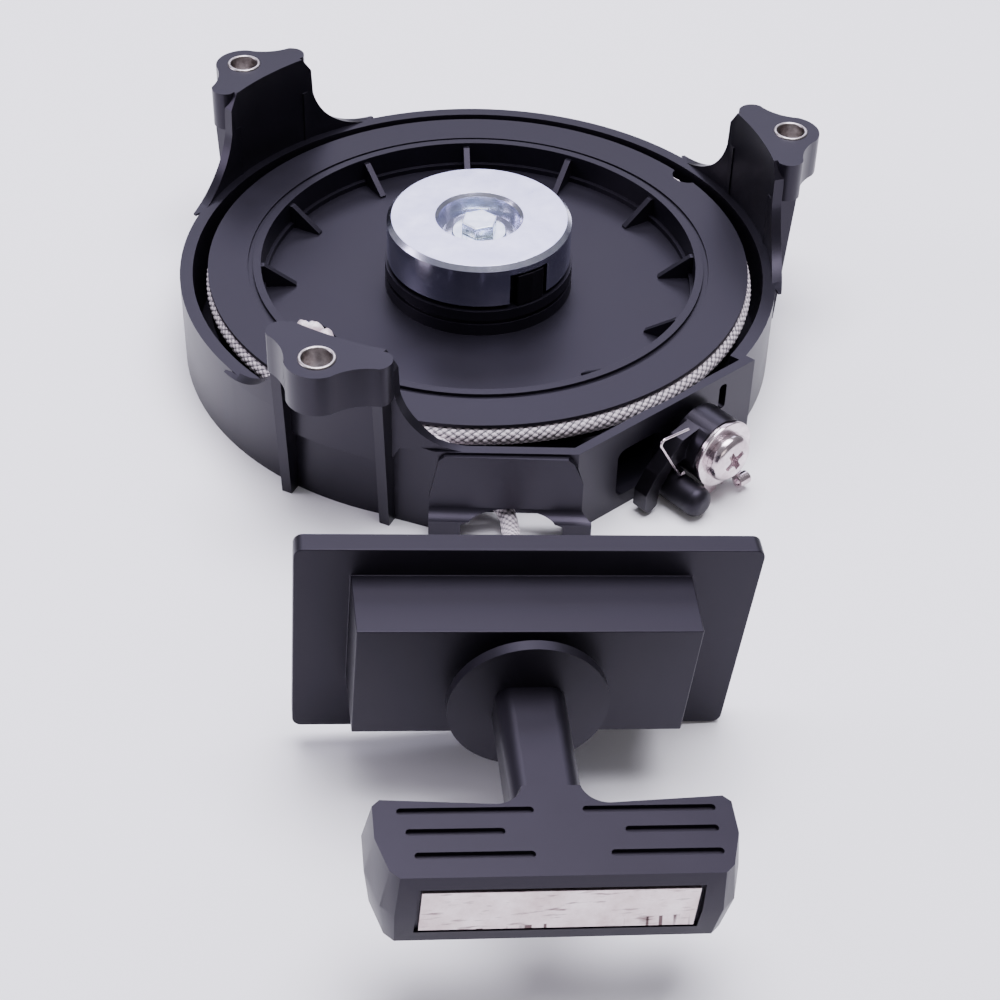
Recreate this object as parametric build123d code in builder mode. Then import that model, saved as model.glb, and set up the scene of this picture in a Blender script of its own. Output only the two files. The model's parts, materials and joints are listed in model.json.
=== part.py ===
"""Recoil starter of a small outboard engine, lying on the closed back of its case.

Frame: millimetres, +Z along the drum's axis, out of the open side of the case.  The origin is on that
axis, on the case's back face.  The pull handle points towards -Y.
"""
from build123d import *
from math import atan2, cos, hypot, pi, radians, sin, tan
import os

# ---- driving dimensions ------------------------------------------------------------------------
case_radius = 93.8
case_wall = 4.0
case_floor = 3.0
case_height = 29.0
hood_wall = 3.0
hood_corners = [(-26, -60), (-26, -90.6), (-9.5, -96.3), (31, -95.6), (84, -48.5), (60, -30)]
mouth_left, mouth_right = -2.2, 27.2
mouth_side_height, mouth_height = 6.6, 9.6
lip_front = -101.5

flange_top = 59.5
flange_thickness = 13.0
pitch_radius = 103.5
leg_angles = {"left": 140.5, "right": 18.4, "front": 246.0}
leg_wall_inner, leg_wall_outer = 92.6, 95.8
collar_outer, collar_bore, collar_length = 5.4, 4.3, 14.6

post_radius = 7.45
drum_radius = 85.0
drum_top = 30.0
web_bottom, web_top = 18.0, 21.0
core_inner, core_outer = 68.5, 71.0
rope_radius = 2.7
groove_top = 28.8
coil_radii = [core_outer + rope_radius * (1 + 2 * turn) for turn in range(3)]
rope_level = groove_top - rope_radius - 0.3

plate_radius, plate_top, skirt_bottom = 28.9, 45.5, 31.5
plate_sheet = 1.5
recess_radius, recess_floor = 12.8, 37.6
pawl_pivot = (-4.9, -18.35)

window_angles, window_top = (-69.3, -42.3), 42.0
knot_azimuth, knot_radius, knot_gusset = -142.6, 60.4, 7
spring_inner, spring_pitch, spring_turns = 14.2, 2.7, 9
spring_strip, spring_width, spring_middle = 0.6, 9.6, 9.2

pull_yaw, pull_roll = 7.1, 4.4
pull_origin = (13.9, -176.8, 38.6)
seal_sheet = 5.9
block_depth = 19.4
grip_gap = 0.3
neck_start, bar_start, bar_end = 27.0, 63.5, 88.7
bar_half_height, bar_draft = 10.6, 1.7
insert_size, insert_recess = (61.4, 12.4), (63.4, 14.2)
# one groove row per line: distance along the pull, then each groove's two ends
groove_rows = [(68.3, -35.3, -4.7, 6.3, 36.6), (74.3, -33.7, -11.7, 15.1, 36.3),
               (80.9, -32.2, -5.7, 11.0, 36.3)]

interlock_along, interlock_height = 45.2, 15.0
hub_radius, bush_radius = 10.4, 4.2
lever_face, hub_face, bail_face = 3.5, 12.4, 9.8


def radial_plane(azimuth):
    """A plane through the drum's axis: local x runs round the case, y up, z outward at the azimuth."""
    a = radians(azimuth)
    return Plane(origin=(0, 0, 0), x_dir=(-sin(a), cos(a), 0), z_dir=(cos(a), sin(a), 0))


def leg_plane(azimuth, height):
    """A level plane at one collar: local x points outward from the drum's axis."""
    a = radians(azimuth)
    centre = (pitch_radius * cos(a), pitch_radius * sin(a), height)
    return Plane(origin=centre, x_dir=(cos(a), sin(a), 0), z_dir=(0, 0, 1))


def rib_plane(azimuth, beside):
    """An upright plane beside a leg's middle: local x points outward from the drum's axis, y up."""
    a = radians(azimuth)
    origin = (-beside * sin(a), beside * cos(a), 0)
    return Plane(origin=origin, x_dir=(cos(a), sin(a), 0), z_dir=(sin(a), -cos(a), 0))


yaw, roll = radians(pull_yaw), radians(pull_roll)
pull = Plane(
    origin=pull_origin,
    x_dir=(cos(roll) * cos(yaw), cos(roll) * sin(yaw), -sin(roll)),
    z_dir=(sin(yaw), -cos(yaw), 0),
)
(wall_x, wall_y), (end_x, end_y) = hood_corners[3:5]
wall_turn = atan2(end_y - wall_y, end_x - wall_x)
wall_length = hypot(end_y - wall_y, end_x - wall_x)
interlock = Plane(
    origin=(wall_x + interlock_along * cos(wall_turn), wall_y + interlock_along * sin(wall_turn),
            interlock_height),
    x_dir=(cos(wall_turn), sin(wall_turn), 0),
    z_dir=(sin(wall_turn), -cos(wall_turn), 0),
)
pieces = {}

# ---- the case: one moulding with its hood, its rope mouth and three legs -------------------------
with BuildSketch() as hood_face:
    with BuildLine():
        Polyline(*hood_corners, close=True)
    make_face()

with BuildPart() as starter_case:
    with BuildSketch():
        Circle(case_radius)
        add(hood_face.sketch)
    extrude(amount=case_height)
    # the cavity: round for the drum, and out into the hood where the rope leaves it
    with BuildSketch(Plane.XY.offset(case_floor)):
        Circle(case_radius - case_wall)
        offset(hood_face.sketch, amount=-hood_wall, kind=Kind.INTERSECTION, mode=Mode.ADD)
    extrude(amount=case_height, mode=Mode.SUBTRACT)
    # ring that holds the recoil spring's cup, and the boss of the centre post
    with BuildSketch(Plane.XY.offset(case_floor - 0.5)):
        Circle(45.5)
        Circle(42.5, mode=Mode.SUBTRACT)
    extrude(amount=11.5)
    # proud panel on the front of the hood
    with BuildSketch(Plane.XZ.offset(94)):
        with BuildLine():
            Polyline((-11.4, 0), (-11.4, 12.8), (-8.6, 26.6), (-7.0, 28.2), (28.0, 28.2), (29.8, 26.6),
                     (35.4, 12.8), (35.4, 0), close=True)
        make_face()
    extrude(amount=3.4)
    # rolled lip over the rope mouth, with its two posts
    with BuildSketch(Plane.YZ.offset(-11.4)):
        with BuildLine():
            Polyline((-94, 0), (lip_front, 0), (lip_front, 7.5))
            RadiusArc((lip_front, 7.5), (-96, 12.8), -6.2)
            Polyline((-96, 12.8), (-94, 12.8), (-94, 0))
        make_face()
    extrude(amount=46.8)
    with BuildSketch(Plane.XZ.offset(-lip_front + 1)):
        with BuildLine():
            Polyline((mouth_left, mouth_side_height), (mouth_left, -1), (mouth_right, -1),
                     (mouth_right, mouth_side_height))
            ThreePointArc((mouth_right, mouth_side_height),
                          ((mouth_left + mouth_right) / 2, mouth_height),
                          (mouth_left, mouth_side_height))
        make_face()
    extrude(amount=-(-lip_front + 1 - 88), mode=Mode.SUBTRACT)
    # the slanted wall is flat outside, where the round wall would stand through it
    with BuildSketch(interlock):
        with Locations((-interlock_along, 0)):
            Rectangle(wall_length, 2 * case_height + 4, align=(Align.MIN, Align.CENTER))
    extrude(amount=6, mode=Mode.SUBTRACT)
    # boss, window and slot of the interlock on the slanted wall
    with BuildSketch(interlock.offset(-4.5)):
        Circle(6)
    extrude(amount=6.3)
    with BuildSketch(interlock.offset(-6)):
        with Locations((-21, -2)):
            RectangleRounded(17, 17, 3)
        with Locations((12.8, 6.4)):
            RectangleRounded(3.0, 9.0, 1.2)
    extrude(amount=8, mode=Mode.SUBTRACT)
    with BuildSketch(interlock.offset(-5)):
        Circle(2.5)
    extrude(amount=8, mode=Mode.SUBTRACT)
    # three legs: a curved wall that rises out of the ring, two ribs and a three-lobed flange
    for azimuth in leg_angles.values():
        radial = radial_plane(azimuth)
        with BuildSketch(radial.offset(85)):
            with BuildLine():
                Polyline((-15.0, flange_top), (-18.4, 54.5), (-18.8, 46))
                ThreePointArc((-18.8, 46), (-25.5, 34.5), (-42, 28.8))
                Polyline((-42, 28.8), (-42, 28.1), (-20, 28.1), (-17, 22), (17, 22), (20, 28.1), (42, 28.1),
                         (42, 28.8))
                ThreePointArc((42, 28.8), (25.5, 34.5), (18.8, 46))
                Polyline((18.8, 46), (18.4, 54.5), (15.0, flange_top), (-15.0, flange_top))
            make_face()
        slab = extrude(amount=25, mode=Mode.PRIVATE)
        with BuildSketch(mode=Mode.PRIVATE) as band:
            Circle(leg_wall_outer)
            Circle(leg_wall_inner, mode=Mode.SUBTRACT)
        add(extrude(band.sketch, amount=80, mode=Mode.PRIVATE) & slab)
        with BuildSketch(leg_plane(azimuth, flange_top - flange_thickness)):
            with BuildLine():
                ThreePointArc((-3.2, 17.6), (0.5, 11.0), (5.8, 7.2))
                ThreePointArc((5.8, 7.2), (9.2, 0), (5.8, -7.2))
                ThreePointArc((5.8, -7.2), (0.5, -11.0), (-3.2, -17.6))
                ThreePointArc((-3.2, -17.6), (-6.8, -19.4), (-11.0, -16.6))
                ThreePointArc((-11.0, -16.6), (-10.2, 0), (-11.0, 16.6))
                ThreePointArc((-11.0, 16.6), (-6.8, 19.4), (-3.2, 17.6))
            make_face()
        extrude(amount=flange_thickness)
        for side in (-1, 1):
            with BuildSketch(rib_plane(azimuth, side * 16.2)):
                with BuildLine():
                    Polyline((91, 0), (96.6, 0), (99.6, 47), (91, 47), close=True)
                make_face()
            extrude(amount=1.6, both=True)
        with BuildSketch(leg_plane(azimuth, flange_top + 1)):
            Circle(collar_outer)
        extrude(amount=-(flange_thickness + 3), mode=Mode.SUBTRACT)
    # the hood's cavity stays open past the front leg, and its left wall rises to that leg in a ramp
    with BuildSketch(Plane.XY.offset(case_floor)):
        offset(hood_face.sketch, amount=-hood_wall, kind=Kind.INTERSECTION)
    extrude(amount=40, mode=Mode.SUBTRACT)
    (ramp_x, ramp_y), (facet_x, facet_y) = hood_corners[1:3]
    ramp_turn = atan2(facet_y - ramp_y, facet_x - ramp_x)
    ramp_plane = Plane(origin=(ramp_x, ramp_y, 0), x_dir=(cos(ramp_turn), sin(ramp_turn), 0),
                       z_dir=(sin(ramp_turn), -cos(ramp_turn), 0))
    with BuildSketch(ramp_plane):
        with BuildLine():
            Polyline((-1.5, 47), (-1.5, 20), (16, 20), (16, case_height))
            ThreePointArc((16, case_height), (4.5, 33.5), (-1.5, 47))
        make_face()
    extrude(amount=-hood_wall)
    # nothing of the case stands in the drum's way
    with BuildSketch(Plane.XY.offset(case_floor + 11)):
        Circle(case_radius - case_wall)
    extrude(amount=60, mode=Mode.SUBTRACT)
pieces["starter_case"] = starter_case

for side, azimuth in leg_angles.items():
    with BuildPart() as mount_collar:
        with BuildSketch(leg_plane(azimuth, flange_top + 0.5)):
            Circle(collar_outer)
            Circle(collar_bore, mode=Mode.SUBTRACT)
        extrude(amount=-collar_length)
        chamfer(mount_collar.edges().group_by(Axis.Z)[-1], 0.3)
    pieces[f"mount_collar_{side}"] = mount_collar

# ---- the centre: post, bolt and washers ----------------------------------------------------------
with BuildPart() as centre_post:
    with BuildSketch(Plane.XY.offset(case_floor)):
        Circle(9.5)
    extrude(amount=2)
    with BuildSketch(Plane.XY.offset(case_floor)):
        Circle(post_radius)
    extrude(amount=recess_floor - 1.0 - case_floor)
    with BuildSketch(Plane.XY.offset(16)):
        Circle(3.0)
    extrude(amount=30, mode=Mode.SUBTRACT)
pieces["centre_post"] = centre_post

with BuildPart() as thrust_washer:
    with BuildSketch(Plane.XY.offset(case_floor + 2)):
        Circle(9.4)
        Circle(post_radius + 0.3, mode=Mode.SUBTRACT)
    extrude(amount=0.8)
pieces["thrust_washer"] = thrust_washer

with BuildPart() as friction_washer:
    with BuildSketch(Plane.XY.offset(recess_floor - 1.0)):
        Circle(9.2)
        Circle(3.2, mode=Mode.SUBTRACT)
    extrude(amount=0.95)
pieces["friction_washer"] = friction_washer

plate_floor_top = recess_floor + plate_sheet
with BuildPart() as bolt_washer:
    with BuildSketch(Plane.XY.offset(plate_floor_top + 0.05)):
        Circle(8.6)
        Circle(3.2, mode=Mode.SUBTRACT)
    extrude(amount=1.2)
    chamfer(bolt_washer.edges().group_by(Axis.Z)[-1].sort_by(SortBy.RADIUS)[-1], 0.3)
pieces["bolt_washer"] = bolt_washer

head_base = plate_floor_top + 1.25
with BuildPart() as centre_bolt:
    with BuildSketch(Plane.XY.offset(17)):
        Circle(2.95)
    extrude(amount=head_base - 17)
    with BuildSketch(Plane.XY.offset(head_base)):
        RegularPolygon(radius=5, major_radius=False, side_count=6, rotation=20)
    extrude(amount=4.0)
pieces["centre_bolt"] = centre_bolt

# ---- the drum with what turns on it --------------------------------------------------------------
with BuildPart() as sheave_drum:
    with BuildSketch(Plane.XZ) as drum_section:
        with BuildLine():
            Polyline((8.95, 6), (12, 6), (12, web_bottom), (drum_radius, web_bottom),
                     (drum_radius, web_top), (core_outer, web_top), (core_outer, groove_top),
                     (drum_radius, groove_top), (drum_radius, drum_top), (core_outer + 1.6, drum_top),
                     (core_outer + 1.6, groove_top + 0.5), (core_outer, groove_top + 0.5),
                     (core_outer, drum_top + 0.4), (core_inner, drum_top + 0.4),
                     (core_inner, web_top + 1.8), (core_inner - 1.2, web_top + 1.8),
                     (core_inner - 1.2, web_top), (29.6, web_top), (29.6, 25.2), (28.4, 25.2),
                     (28.4, 26.6), (29.6, 26.6), (29.6, drum_top), (8.95, drum_top), close=True)
        make_face()
    revolve(axis=Axis.Z)
    # hollow under the hub
    with BuildSketch(Plane.XY.offset(web_bottom - 1)):
        Circle(25.5)
        Circle(12, mode=Mode.SUBTRACT)
    extrude(amount=10, mode=Mode.SUBTRACT)
    # gussets between the web and the core wall
    for step in [number for number in range(12) if number != knot_gusset]:
        with BuildSketch(rib_plane(5 + 30 * step, 0)):
            with BuildLine():
                Polyline((57.7, web_top - 0.5), (core_inner + 1, web_top - 0.5),
                         (core_inner + 1, drum_top - 1), (core_inner - 1, drum_top - 1),
                         (57.7, web_top + 0.6), close=True)
            make_face()
        extrude(amount=1.0, both=True)
    # pocket for the rope's knot, and the hole that leads the rope into it
    pocket = radial_plane(knot_azimuth)
    with BuildSketch(leg_plane(knot_azimuth, web_bottom - 1)):
        with Locations((knot_radius - 0.4 - pitch_radius, 0)):
            RectangleRounded(13, 20, 4)
    extrude(amount=6, mode=Mode.SUBTRACT)
    with BuildSketch(pocket.offset(knot_radius)):
        with Locations((0, rope_level - 1.2)):
            Circle(rope_radius + 0.3)
    extrude(amount=12, mode=Mode.SUBTRACT)
    # rounded notch in the rim
    with BuildSketch(Plane.XY.offset(groove_top - 0.5)):
        with PolarLocations(drum_radius + 1.5, 1, start_angle=37.5):
            Circle(5)
    extrude(amount=5, mode=Mode.SUBTRACT)
    # hole of the pawl's pin
    with BuildSketch(Plane.XY.offset(26)):
        with Locations(pawl_pivot):
            Circle(1.5)
    extrude(amount=6, mode=Mode.SUBTRACT)
pieces["sheave_drum"] = sheave_drum

with BuildPart() as drum_bushing:
    with BuildSketch(Plane.XY.offset(6.1)):
        Circle(8.95)
        Circle(post_radius + 0.05, mode=Mode.SUBTRACT)
    extrude(amount=drum_top - 6.1)
pieces["drum_bushing"] = drum_bushing

with BuildPart() as rope_coil:
    with BuildSketch(Plane.XY.offset(rope_level - rope_radius)):
        Circle(coil_radii[-1] + rope_radius - 0.3)
        Circle(core_outer, mode=Mode.SUBTRACT)
    extrude(amount=2 * rope_radius)
pieces["rope_coil"] = rope_coil

with BuildPart() as drum_knot:
    with BuildSketch(leg_plane(knot_azimuth, web_bottom + 0.5)):
        with Locations((knot_radius - pitch_radius, 0)):
            RectangleRounded(11.5, 19, 5.5)
    extrude(amount=7)
    fillet(drum_knot.faces().sort_by(Axis.Z)[-1].edges(), 3.0)
pieces["drum_knot"] = drum_knot

# ---- recoil spring, a flat strip wound between the drum's sleeve and its cup ----------------------
with BuildPart() as spring_cup:
    with BuildSketch(Plane.XY.offset(case_floor)):
        Circle(42.4)
        Circle(10.2, mode=Mode.SUBTRACT)
    extrude(amount=0.8)
    with BuildSketch(Plane.XY.offset(case_floor)):
        Circle(42.4)
        Circle(41.6, mode=Mode.SUBTRACT)
    extrude(amount=12)
pieces["spring_cup"] = spring_cup


with BuildPart() as recoil_spring:
    with BuildLine() as spiral:
        # half circles about two centres a half pitch apart: together they are a spiral
        for half in range(2 * spring_turns):
            side = 1 if half % 2 == 0 else -1
            middle = (half % 2) * spring_pitch / 2
            radius = spring_inner + half * spring_pitch / 2
            ThreePointArc((middle + side * radius, 0, spring_middle), (middle, side * radius, spring_middle),
                          (middle - side * radius, 0, spring_middle))
    with BuildSketch(Plane(spiral.line @ 0, x_dir=(1, 0, 0), z_dir=spiral.line % 0)):
        Rectangle(spring_strip, spring_width)
    sweep()
pieces["recoil_spring"] = recoil_spring

# ---- friction plate, its spring and the pawl ------------------------------------------------------
with BuildPart() as friction_plate:
    with BuildSketch(Plane.XZ):
        with BuildLine():
            Polyline((3.2, recess_floor), (11.6 + plate_sheet, recess_floor),
                     (recess_radius + plate_sheet, plate_top - plate_sheet),
                     (plate_radius - plate_sheet, plate_top - plate_sheet),
                     (plate_radius - plate_sheet, skirt_bottom), (plate_radius, skirt_bottom),
                     (plate_radius, plate_top - 1.4), (plate_radius - 1.4, plate_top),
                     (recess_radius + 1.0, plate_top), (recess_radius, plate_top - 1.0),
                     (11.6, plate_floor_top), (3.2, plate_floor_top), close=True)
        make_face()
    revolve(axis=Axis.Z)
    with BuildSketch(Plane.XY.offset(skirt_bottom - 1)):
        with BuildLine():
            start, end = radians(window_angles[0]), radians(window_angles[1])
            Polyline((0, 0), (40 * cos(start), 40 * sin(start)), (40 * cos(end), 40 * sin(end)),
                     close=True)
        make_face()
        Circle(20, mode=Mode.SUBTRACT)
    extrude(amount=window_top - skirt_bottom + 1, mode=Mode.SUBTRACT)
pieces["friction_plate"] = friction_plate

with BuildPart() as friction_spring:
    with BuildLine() as spring_line:
        Helix(pitch=2.2, height=5.5, radius=10.6, center=(0, 0, drum_top + 0.9))
    with BuildSketch(Plane(spring_line.line @ 0, z_dir=spring_line.line % 0)):
        Circle(0.6)
    sweep(is_frenet=True)
pieces["friction_spring"] = friction_spring

with BuildPart() as drive_pawl:
    with BuildSketch(Plane.XY.offset(drum_top + 0.3)) as pawl_face:
        with BuildLine():
            Polyline((-8.0, -20.6), (-6.0, -15.4), (6.0, -16.4), (17.0, -16.6), (20.6, -20.4),
                     (17.0, -23.5), (12.6, -26.1), (11.2, -23.8), (7.0, -22.9), (-3.5, -22.8),
                     close=True)
        make_face()
        fillet(pawl_face.vertices(), 0.6)
        with Locations(pawl_pivot):
            Circle(1.56, mode=Mode.SUBTRACT)
    extrude(amount=window_top - drum_top - 1.3)
pieces["drive_pawl"] = drive_pawl

with BuildPart() as pawl_pin:
    with BuildSketch(Plane.XY.offset(26)):
        with Locations(pawl_pivot):
            Circle(1.5)
    extrude(amount=window_top - 26 - 0.7)
    with BuildSketch(Plane.XY.offset(window_top - 0.9)):
        with Locations(pawl_pivot):
            Circle(2.7)
    extrude(amount=0.9)
pieces["pawl_pin"] = pawl_pin

with BuildPart() as pawl_spring:
    with BuildLine() as wire_line:
        FilletPolyline((-15.5, -14.0, drum_top + 0.8), (-13.0, -19.0, drum_top + 0.8),
                       (-9.2, -19.6, drum_top + 0.8), radius=1.5)
    with BuildSketch(Plane(wire_line.line @ 0, z_dir=wire_line.line % 0)):
        Circle(0.4)
    sweep()
pieces["pawl_spring"] = pawl_spring

# ---- start-in-gear interlock on the slanted wall ---------------------------------------------------
with BuildPart() as interlock_bush:
    with BuildSketch(interlock.offset(1.85)):
        Circle(bush_radius)
        Circle(2.6, mode=Mode.SUBTRACT)
    extrude(amount=hub_face + 1.1 - 1.85)
pieces["interlock_bush"] = interlock_bush

with BuildPart() as interlock_lever:
    with BuildSketch(interlock.offset(2.1)):
        Circle(hub_radius)
    extrude(amount=hub_face - 2.1)
    with BuildSketch(interlock.offset(lever_face)) as lever_face_sketch:
        with BuildLine():
            Polyline((0, 10.2), (-12.0, 7.4), (-21.4, -1.0), (-25.4, -6.6), (-25.6, -12.4),
                     (-23.4, -14.2), (-20.6, -12.6), (-19.8, -7.2), (-15.0, -0.6), (-6.0, 0),
                     (0, 0), close=True)
        make_face()
        fillet(lever_face_sketch.vertices().filter_by(lambda v: v.distance_to(interlock.origin) > 12),
               1.0)
    extrude(amount=5)
    with BuildSketch(interlock.offset(2)):
        Circle(bush_radius + 0.06)
    extrude(amount=hub_face, mode=Mode.SUBTRACT)
pieces["interlock_lever"] = interlock_lever

with BuildPart() as interlock_spring:
    with BuildLine() as bail_line:
        corners = [(-11.6, 12.4), (-23.6, 13.6), (-13.4, -4.0), (-11.4, -3.8)]
        FilletPolyline(*[interlock.from_local_coords(Vector(x, y, bail_face)) for x, y in corners],
                       radius=1.4)
    with BuildSketch(Plane(bail_line.line @ 0, z_dir=bail_line.line % 0)):
        Circle(0.4)
    sweep()
pieces["interlock_spring"] = interlock_spring

with BuildPart() as interlock_arm:
    with BuildSketch(interlock.offset(hub_face + 0.1)):
        Circle(9.9)
        with BuildLine():
            Polyline((-8.0, -4.0), (-6.4, -8.6), (-5.4, -12.0), (-3.4, -14.2), (-1.0, -13.6), (-0.4, -11.4),
                     (1.6, -13.0), (3.4, -11.6), (8.4, -11.3), (8.4, -4.0), close=True)
        make_face()
        Circle(bush_radius + 0.1, mode=Mode.SUBTRACT)
    extrude(amount=0.9)
    # the curled end that a cable hooks into
    with BuildSketch(interlock.offset(hub_face + 0.1)):
        with Locations((6.4, -10.95)):
            Rectangle(4.0, 0.8)
    extrude(amount=3.2)
    curl = Plane(origin=interlock.from_local_coords(Vector(4.4, -11.4, hub_face + 4.4)),
                 x_dir=interlock.y_dir, z_dir=interlock.x_dir)
    with BuildSketch(curl):
        Circle(2.0)
        Circle(1.2, mode=Mode.SUBTRACT)
    extrude(amount=4.0)
pieces["interlock_arm"] = interlock_arm

with BuildPart() as interlock_washer:
    with BuildSketch(interlock.offset(hub_face + 1.15)):
        Circle(10.7)
        Circle(2.7, mode=Mode.SUBTRACT)
    extrude(amount=1.2)
pieces["interlock_washer"] = interlock_washer

head_face = hub_face + 2.4
with BuildPart() as interlock_screw:
    with BuildSketch(interlock.offset(-4)):
        Circle(2.45)
    extrude(amount=head_face + 4)
    with BuildSketch(interlock.offset(head_face)):
        Circle(7.5)
    extrude(amount=4)
    fillet(interlock_screw.edges().sort_by(Axis(interlock.origin, interlock.z_dir))[-1], 2.6)
    with BuildSketch(interlock.offset(head_face + 4)):
        Rectangle(7.4, 1.9, rotation=30)
        Rectangle(1.9, 7.4, rotation=30)
        Circle(1.8)
    extrude(amount=-2.6, taper=8, mode=Mode.SUBTRACT)
pieces["interlock_screw"] = interlock_screw

with BuildPart() as stop_knob:
    with BuildSketch(interlock.offset(0.3)):
        with Locations((-12.7, -9.8)):
            Circle(4.7)
    extrude(amount=19.7)
    fillet(stop_knob.edges().sort_by(Axis(interlock.origin, interlock.z_dir))[-1], 3.4)
pieces["stop_knob"] = stop_knob

# ---- cowl seal on the rope -------------------------------------------------------------------------
with BuildPart() as cowl_seal:
    with BuildSketch(pull.offset(-seal_sheet)) as seal_outline:
        with BuildLine():
            Polyline((-56.3, 26.5), (59.7, 26.5), (57.9, -33.9), (-54.5, -33.9), close=True)
        make_face()
        fillet(seal_outline.vertices(), 2.5)
    extrude(amount=seal_sheet)
    with BuildSketch(pull):
        with BuildLine():
            Polyline((-42.2, 18.3), (42.2, 18.3), (41.6, -16.3), (-41.6, -16.3), close=True)
        make_face()
    extrude(amount=block_depth, taper=1)
    with BuildSketch(pull.offset(-seal_sheet - 1)):
        Circle(4.6)
    extrude(amount=block_depth + seal_sheet + 2, mode=Mode.SUBTRACT)
pieces["cowl_seal"] = cowl_seal

with BuildPart() as seal_bush:
    with BuildSketch(pull.offset(-seal_sheet)):
        Circle(4.6)
        Circle(rope_radius + 0.5, mode=Mode.SUBTRACT)
    extrude(amount=block_depth + seal_sheet)
pieces["seal_bush"] = seal_bush

# ---- handle ------------------------------------------------------------------------------------------
with BuildPart() as handle_grip:
    with BuildSketch(pull.offset(block_depth + grip_gap)):
        Circle(13)
    extrude(amount=neck_start - block_depth - grip_gap - 1)
    with BuildSketch(pull.offset(neck_start - 3)):
        Circle(19.7)
    extrude(amount=3)
    with BuildSketch(pull.offset(neck_start - 1)):
        RectangleRounded(17, 14, 4)
    extrude(amount=bar_start - neck_start + 4)
    # the crossbar, drafted up and down from its parting plane
    flat = Plane(origin=pull.origin, x_dir=pull.x_dir, z_dir=pull.y_dir)
    with BuildSketch(flat, mode=Mode.PRIVATE) as bar_outline:
        with BuildLine():
            Polyline((-39.5, -bar_start + 0.4), (-13.5, -bar_start - 1.2))
            ThreePointArc((-13.5, -bar_start - 1.2), (-9.6, -bar_start + 0.2), (-8.4, -bar_start + 4))
            Polyline((-8.4, -bar_start + 4), (8.4, -bar_start + 4))
            ThreePointArc((8.4, -bar_start + 4), (9.6, -bar_start + 0.2), (13.5, -bar_start - 1.2))
            Polyline((13.5, -bar_start - 1.2), (39.5, -bar_start + 0.4), (42.3, -bar_start - 2.4),
                     (42.3, -76), (39.4, -bar_end + 3), (36.4, -bar_end), (-36.4, -bar_end),
                     (-39.4, -bar_end + 3), (-42.3, -76), (-42.3, -bar_start - 2.4),
                     (-39.5, -bar_start + 0.4))
        make_face()
    for height in (bar_half_height, -bar_half_height):
        with BuildSketch(flat.offset(height), mode=Mode.PRIVATE) as bar_rim:
            offset(bar_outline.sketch_local, amount=-bar_draft, kind=Kind.INTERSECTION)
        loft([bar_outline.sketch, bar_rim.sketch], ruled=True)
    for side in (1, -1):
        with BuildSketch(flat.offset(side * (bar_half_height + 0.1))):
            for row, *ends in groove_rows:
                for first, last in (ends[:2], ends[2:]):
                    with Locations(((first + last) / 2, -row)):
                        SlotOverall(last - first, 1.9)
        extrude(amount=-side * 1.2, mode=Mode.SUBTRACT)
    with BuildSketch(pull.offset(bar_end + 1)):
        Rectangle(*insert_recess)
    extrude(amount=-3.2, mode=Mode.SUBTRACT)
    with BuildSketch(pull.offset(block_depth)):
        Circle(rope_radius + 0.3)
    extrude(amount=60, mode=Mode.SUBTRACT)
    with BuildSketch(pull.offset(74.5)):
        Circle(6.0)
    extrude(amount=14, mode=Mode.SUBTRACT)
pieces["handle_grip"] = handle_grip

with BuildPart() as handle_insert:
    with BuildSketch(pull.offset(bar_end - 2.2)):
        Rectangle(*insert_size)
    extrude(amount=1.2)
pieces["handle_insert"] = handle_insert

with BuildPart() as handle_knot:
    with BuildSketch(pull.offset(75)):
        Circle(5.6)
    extrude(amount=9)
    fillet(handle_knot.edges().filter_by(GeomType.CIRCLE), 2.5)
pieces["handle_knot"] = handle_knot

# ---- rope: one tight length from the coil through the mouth, the seal and the handle to its knot -----
seam = -12
with BuildPart() as rope_tail:
    with BuildSketch(pull.offset(seam)):
        Circle(rope_radius)
    extrude(amount=75 - seam)
pieces["rope_tail"] = rope_tail

axis_back = pull.from_local_coords(Vector(0, 0, seam))
axis_far = pull.from_local_coords(Vector(0, 0, seam - 14))
lead_points = [Vector(-8.9, -89.2, rope_level), Vector(-3.2, -90.2, 20.8), Vector(4.4, -89.6, 10.2),
               Vector(11.2, -93.2, 4.7), Vector(12.6, -103.0, 4.4), Vector(12.6, -118.0, 10.2),
               Vector(12.4, -136.0, 23.4), axis_far, axis_back]


def corner_radii(points):
    """For each corner, 0.45 of its shorter run over the tangent of half its turn."""
    radii = []
    for before, at, after in zip(points, points[1:], points[2:]):
        arriving, leaving = at - before, after - at
        half_turn = radians(arriving.get_angle(leaving)) / 2
        radii.append(0.45 * min(arriving.length, leaving.length) / tan(half_turn))
    return radii


lead_radii = corner_radii(lead_points)
print("rope lead radii", [round(radius, 1) for radius in lead_radii])
with BuildPart() as rope_lead:
    with BuildLine() as lead_line:
        FilletPolyline(*lead_points, radius=lead_radii)
    with BuildSketch(Plane(lead_line.line @ 0, z_dir=lead_line.line % 0)):
        Circle(rope_radius)
    sweep()
pieces["rope_lead"] = rope_lead
lead_length = lead_line.wires()[0].length
print("rope lead volume", round(rope_lead.part.volume, 1), "section times length",
      round(pi * rope_radius**2 * lead_length, 1), "length", round(lead_length, 1))

# ---- write every piece ---------------------------------------------------------------------------------
os.makedirs("parts", exist_ok=True)
for node, piece in pieces.items():
    piece.part.label = node
    export_step(piece.part, f"parts/{node}.step")
print(len(pieces), "pieces written")
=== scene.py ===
# %% [markdown]
# A recoil starter is the rope-and-spring unit that turns a small engine over by hand.  This one is a
# moulded case that lies on its closed back, with a rope drum in it, a zinc friction plate in the
# middle, a start-in-gear lock on its side, and a rubber cowl seal and a T-handle on the rope.
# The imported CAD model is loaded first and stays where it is: every piece made here is placed from it.

# %% Load the frame
import json
from math import atan2, cos, radians, sin

import bmesh
import bpy
import numpy as np
from mathutils import Matrix, Vector


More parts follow.
